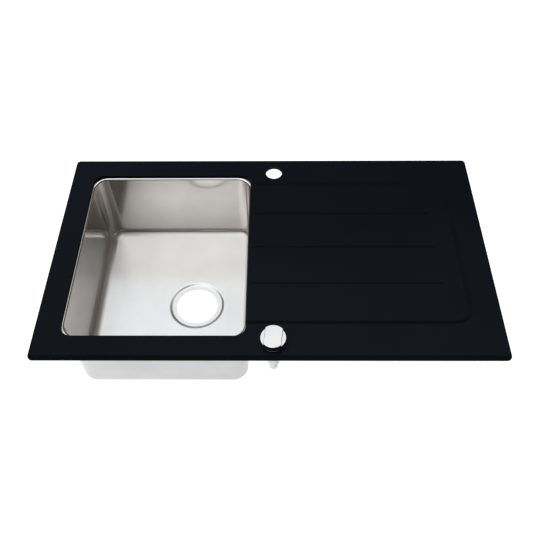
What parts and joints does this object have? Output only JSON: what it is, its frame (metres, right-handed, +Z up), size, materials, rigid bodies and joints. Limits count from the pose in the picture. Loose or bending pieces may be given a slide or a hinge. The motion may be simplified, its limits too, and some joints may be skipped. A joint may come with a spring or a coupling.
{
  "type": "inset kitchen sink",
  "caption": "Inset kitchen sink: black glass top with a deep steel bowl, a shallow lined drainer, a tap hole, and a turn knob that works the waste by a cable; clips hold it in the worktop.",
  "frame": {"origin": "centre of the glass outline on the worktop's surface, which is the underside of the rim seal", "axes": "+X along the sink from the bowl to the drainer, +Y from the front edge to the tap hole, +Z up"},
  "size_m": [0.86, 0.5, 0.2125],
  "materials": {
    "black_glass": "glossy, fired black on the back",
    "bowl_steel": "satin",
    "adhesive": "matte cured sealant",
    "foam": "matte closed-cell foam",
    "damping": "matte",
    "zinc_sheet": "zinc plated",
    "clip_plastic": "matte",
    "zinc_screw": "zinc plated",
    "zinc_claw": "zinc plated",
    "chrome": "polished",
    "bare_steel": "turned",
    "seal_rubber": "matte",
    "slip_fibre": "matte",
    "nut_plastic": "matte",
    "pale_plastic": "semi-gloss",
    "slider_plastic": "matte"
  },
  "bodies": {
    "sink": {"glass_top": "black_glass", "bowl": "bowl_steel", "bowl_bond": "adhesive", "rail_bonds": "adhesive", "worktop_seal": "foam", "sound_pad": "damping", "clip_rail_left": "zinc_sheet", "clip_rail_right": "zinc_sheet", "clip_rail_rear_left": "zinc_sheet", "clip_rail_rear_right": "zinc_sheet", "clip_brackets": "clip_plastic", "control_shank": "chrome", "control_gasket": "seal_rubber", "control_rubber_washer": "seal_rubber", "control_slip_washer": "slip_fibre", "control_nut": "nut_plastic", "control_housing": "pale_plastic", "cable_gland": "pale_plastic"},
    "knob": {"control_knob": "chrome", "knob_grub_screw": "bare_steel", "control_spindle": "bare_steel", "spindle_oring": "seal_rubber", "spindle_circlip": "bare_steel"},
    "cable_pull": {"cable_slider": "slider_plastic", "slider_pin": "bare_steel"},
    "clip_1_screw": {"clip_screw_1": "zinc_screw"},
    "clip_1_claw": {"clip_claw_1": "zinc_claw"},
    "clip_2_screw": {"clip_screw_2": "zinc_screw"},
    "clip_2_claw": {"clip_claw_2": "zinc_claw"},
    "clip_3_screw": {"clip_screw_3": "zinc_screw"},
    "clip_3_claw": {"clip_claw_3": "zinc_claw"},
    "clip_4_screw": {"clip_screw_4": "zinc_screw"},
    "clip_4_claw": {"clip_claw_4": "zinc_claw"},
    "clip_5_screw": {"clip_screw_5": "zinc_screw"},
    "clip_5_claw": {"clip_claw_5": "zinc_claw"},
    "clip_6_screw": {"clip_screw_6": "zinc_screw"},
    "clip_6_claw": {"clip_claw_6": "zinc_claw"}
  },
  "joints": [
    {"name": "knob_turn", "type": "hinge", "parent": "sink", "child": "knob", "pos_m": [0.008, -0.213, 0], "axis": [0, 0, -1], "range_deg": [0, 90]},
    {"name": "cable_lift", "type": "slide", "parent": "sink", "child": "cable_pull", "axis": [0, 0, 1], "range_m": [0, 0.01]},
    {"name": "clip_1_swing", "type": "hinge", "parent": "sink", "child": "clip_1_screw", "pos_m": [-0.4105, -0.11, 0], "axis": [0, 0, 1], "range_deg": [0, 90]},
    {"name": "clip_1_draw", "type": "slide", "parent": "clip_1_screw", "child": "clip_1_claw", "axis": [0, 0, 1], "range_m": [0, 0.018]},
    {"name": "clip_2_swing", "type": "hinge", "parent": "sink", "child": "clip_2_screw", "pos_m": [-0.4105, 0.11, 0], "axis": [0, 0, 1], "range_deg": [0, 90]},
    {"name": "clip_2_draw", "type": "slide", "parent": "clip_2_screw", "child": "clip_2_claw", "axis": [0, 0, 1], "range_m": [0, 0.018]},
    {"name": "clip_3_swing", "type": "hinge", "parent": "sink", "child": "clip_3_screw", "pos_m": [-0.2125, 0.2305, 0], "axis": [0, 0, 1], "range_deg": [0, 90]},
    {"name": "clip_3_draw", "type": "slide", "parent": "clip_3_screw", "child": "clip_3_claw", "axis": [0, 0, 1], "range_m": [0, 0.018]},
    {"name": "clip_4_swing", "type": "hinge", "parent": "sink", "child": "clip_4_screw", "pos_m": [0.23, 0.2305, 0], "axis": [0, 0, 1], "range_deg": [0, 90]},
    {"name": "clip_4_draw", "type": "slide", "parent": "clip_4_screw", "child": "clip_4_claw", "axis": [0, 0, 1], "range_m": [0, 0.018]},
    {"name": "clip_5_swing", "type": "hinge", "parent": "sink", "child": "clip_5_screw", "pos_m": [0.4105, 0.11, 0], "axis": [0, 0, 1], "range_deg": [0, 90]},
    {"name": "clip_5_draw", "type": "slide", "parent": "clip_5_screw", "child": "clip_5_claw", "axis": [0, 0, 1], "range_m": [0, 0.018]},
    {"name": "clip_6_swing", "type": "hinge", "parent": "sink", "child": "clip_6_screw", "pos_m": [0.4105, -0.11, 0], "axis": [0, 0, 1], "range_deg": [0, 90]},
    {"name": "clip_6_draw", "type": "slide", "parent": "clip_6_screw", "child": "clip_6_claw", "axis": [0, 0, 1], "range_m": [0, 0.018]}
  ],
  "couplings": [
    {"joint": "cable_lift", "follows": "knob_turn", "m_per_rad": 0.006366}
  ]
}
